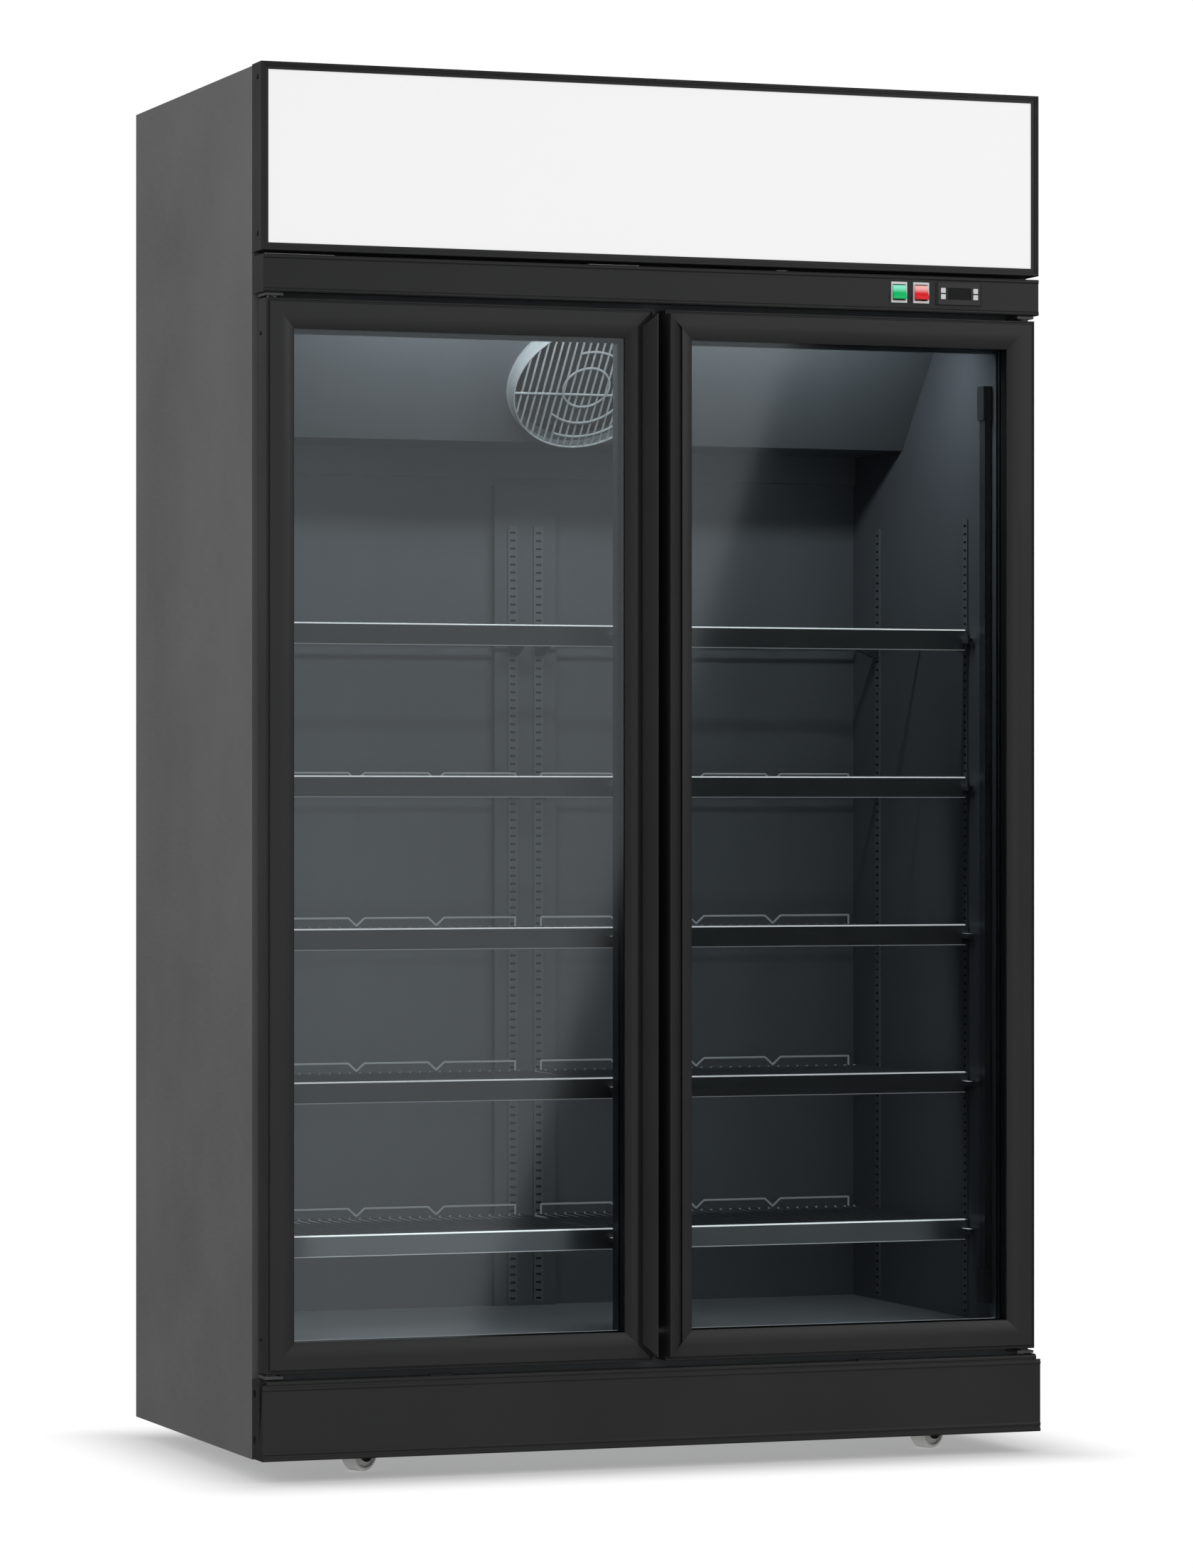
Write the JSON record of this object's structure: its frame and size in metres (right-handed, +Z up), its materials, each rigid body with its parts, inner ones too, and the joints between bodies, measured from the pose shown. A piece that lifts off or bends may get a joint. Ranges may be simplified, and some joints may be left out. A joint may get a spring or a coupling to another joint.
{
  "type": "glass door merchandiser",
  "caption": "Upright display cooler with hinged glass doors, wire shelves, lit sign canopy, top cooling unit and swivel castors.",
  "frame": {"origin": "on the floor, under the centre of the overall width and depth", "axes": "+Z up, the doors face -Y, +X to the right of someone facing the doors"},
  "size_m": [1.2, 0.686, 2.01],
  "materials": {
    "grey_sheet": "satin",
    "black_frame": "satin",
    "galvanised": "satin",
    "foam": "matte",
    "lining_sheet": "satin",
    "tray_steel": "satin",
    "breaker_plastic": "satin",
    "post_plastic": "satin",
    "strip_steel": "satin",
    "shelf_coat": "satin",
    "cover_sheet": "satin",
    "fin_aluminium": "satin",
    "guard_plastic": "satin",
    "motor_metal": "satin",
    "sign_acrylic": "satin",
    "lamp_white": "satin",
    "switch_white": "satin",
    "controller_black": "satin",
    "green_key": "gloss",
    "red_key": "gloss",
    "key_white": "satin",
    "glass": "polished",
    "seal_rubber": "matte",
    "black_handle": "satin",
    "bracket_steel": "satin",
    "fork_black": "satin",
    "wheel_grey": "satin",
    "fan_plastic": "satin"
  },
  "bodies": {
    "cabinet": {"side_panel_left": "grey_sheet", "side_panel_right": "grey_sheet", "back_panel": "galvanised", "unit_covers": "grey_sheet", "base_pan": "galvanised", "insulation": "foam", "inner_liner": "lining_sheet", "floor_pan": "tray_steel", "front_frame": "breaker_plastic", "mullion": "post_plastic", "rail_plate": "lining_sheet", "shelf_pilasters": "strip_steel", "shelf_clips": "strip_steel", "evaporator_cover": "cover_sheet", "evaporator_coil": "fin_aluminium", "fan_guard": "guard_plastic", "fan_motor": "motor_metal", "canopy_box": "grey_sheet", "canopy_frame": "black_frame", "sign_panel": "sign_acrylic", "canopy_lamps": "lamp_white", "control_fascia": "black_frame", "switch_bezels": "switch_white", "controller": "controller_black", "kick_plate": "black_frame", "interior_lamps": "lamp_white", "compressor": "motor_metal", "condenser_coil": "fin_aluminium", "condenser_motor": "motor_metal", "castor_plates": "bracket_steel", "hinge_brackets": "bracket_steel", "shelf_level_1": "shelf_coat", "shelf_level_2": "shelf_coat", "shelf_level_3": "shelf_coat", "shelf_level_4": "shelf_coat", "shelf_level_5": "shelf_coat"},
    "left_door": {"left_door_frame": "black_frame", "left_handle": "black_handle", "left_glass": "glass", "left_seals": "seal_rubber"},
    "right_door": {"right_door_frame": "black_frame", "right_handle": "black_handle", "right_glass": "glass", "right_seals": "seal_rubber"},
    "green_switch": {"green_rocker": "green_key"},
    "red_switch": {"red_rocker": "red_key"},
    "upper_left_key": {"button_upper_left": "key_white"},
    "lower_left_key": {"button_lower_left": "key_white"},
    "upper_right_key": {"button_upper_right": "key_white"},
    "lower_right_key": {"button_lower_right": "key_white"},
    "evaporator_rotor": {"evaporator_fan": "fan_plastic"},
    "condenser_rotor": {"condenser_fan": "fan_plastic"},
    "front_left_swivel": {"castor_fork_front_left": "fork_black"},
    "front_left_roller": {"castor_wheel_front_left": "wheel_grey"},
    "front_right_swivel": {"castor_fork_front_right": "fork_black"},
    "front_right_roller": {"castor_wheel_front_right": "wheel_grey"},
    "rear_left_swivel": {"castor_fork_rear_left": "fork_black"},
    "rear_left_roller": {"castor_wheel_rear_left": "wheel_grey"},
    "rear_right_swivel": {"castor_fork_rear_right": "fork_black"},
    "rear_right_roller": {"castor_wheel_rear_right": "wheel_grey"}
  },
  "joints": [
    {"name": "left_door_hinge", "type": "hinge", "parent": "cabinet", "child": "left_door", "pos_m": [-0.58, -0.3075, 0.9], "axis": [0, 0, -1], "range_deg": [0, 105], "stiffness_Nm_per_rad": 3},
    {"name": "right_door_hinge", "type": "hinge", "parent": "cabinet", "child": "right_door", "pos_m": [0.58, -0.3075, 0.9], "axis": [0, 0, 1], "range_deg": [0, 105], "stiffness_Nm_per_rad": 3},
    {"name": "green_rocker_pivot", "type": "hinge", "parent": "cabinet", "child": "green_switch", "pos_m": [0.374, -0.3258, 1.7122], "axis": [1, 0, 0], "range_deg": [0, 16]},
    {"name": "red_rocker_pivot", "type": "hinge", "parent": "cabinet", "child": "red_switch", "pos_m": [0.409, -0.3258, 1.7122], "axis": [1, 0, 0], "range_deg": [0, 16]},
    {"name": "upper_left_key_press", "type": "slide", "parent": "cabinet", "child": "upper_left_key", "axis": [0, 1, 0], "range_m": [0, 0.001], "stiffness_N_per_m": 400},
    {"name": "lower_left_key_press", "type": "slide", "parent": "cabinet", "child": "lower_left_key", "axis": [0, 1, 0], "range_m": [0, 0.001], "stiffness_N_per_m": 400},
    {"name": "upper_right_key_press", "type": "slide", "parent": "cabinet", "child": "upper_right_key", "axis": [0, 1, 0], "range_m": [0, 0.001], "stiffness_N_per_m": 400},
    {"name": "lower_right_key_press", "type": "slide", "parent": "cabinet", "child": "lower_right_key", "axis": [0, 1, 0], "range_m": [0, 0.001], "stiffness_N_per_m": 400},
    {"name": "evaporator_fan_spin", "type": "hinge", "parent": "cabinet", "child": "evaporator_rotor", "pos_m": [0, 0.02785, 1.61713], "axis": [0, -0.7577, -0.6526], "continuous": true},
    {"name": "condenser_fan_spin", "type": "hinge", "parent": "cabinet", "child": "condenser_rotor", "pos_m": [-0.25, -0.1225, 1.873], "axis": [0, -1, 0], "continuous": true},
    {"name": "front_left_castor_swivel", "type": "hinge", "parent": "cabinet", "child": "front_left_swivel", "pos_m": [-0.444, -0.2195, 0.0687], "axis": [0, 0, 1], "continuous": true},
    {"name": "front_left_wheel_roll", "type": "hinge", "parent": "front_left_swivel", "child": "front_left_roller", "pos_m": [-0.41953, -0.20809, 0.025], "axis": [-0.4226, 0.9063, 0], "continuous": true},
    {"name": "front_right_castor_swivel", "type": "hinge", "parent": "cabinet", "child": "front_right_swivel", "pos_m": [0.444, -0.2195, 0.0687], "axis": [0, 0, 1], "continuous": true},
    {"name": "front_right_wheel_roll", "type": "hinge", "parent": "front_right_swivel", "child": "front_right_roller", "pos_m": [0.46847, -0.20809, 0.025], "axis": [-0.4226, 0.9063, 0], "continuous": true},
    {"name": "rear_left_castor_swivel", "type": "hinge", "parent": "cabinet", "child": "rear_left_swivel", "pos_m": [-0.444, 0.2425, 0.0687], "axis": [0, 0, 1], "continuous": true},
    {"name": "rear_left_wheel_roll", "type": "hinge", "parent": "rear_left_swivel", "child": "rear_left_roller", "pos_m": [-0.41953, 0.25391, 0.025], "axis": [-0.4226, 0.9063, 0], "continuous": true},
    {"name": "rear_right_castor_swivel", "type": "hinge", "parent": "cabinet", "child": "rear_right_swivel", "pos_m": [0.444, 0.2425, 0.0687], "axis": [0, 0, 1], "continuous": true},
    {"name": "rear_right_wheel_roll", "type": "hinge", "parent": "rear_right_swivel", "child": "rear_right_roller", "pos_m": [0.46847, 0.25391, 0.025], "axis": [-0.4226, 0.9063, 0], "continuous": true}
  ]
}
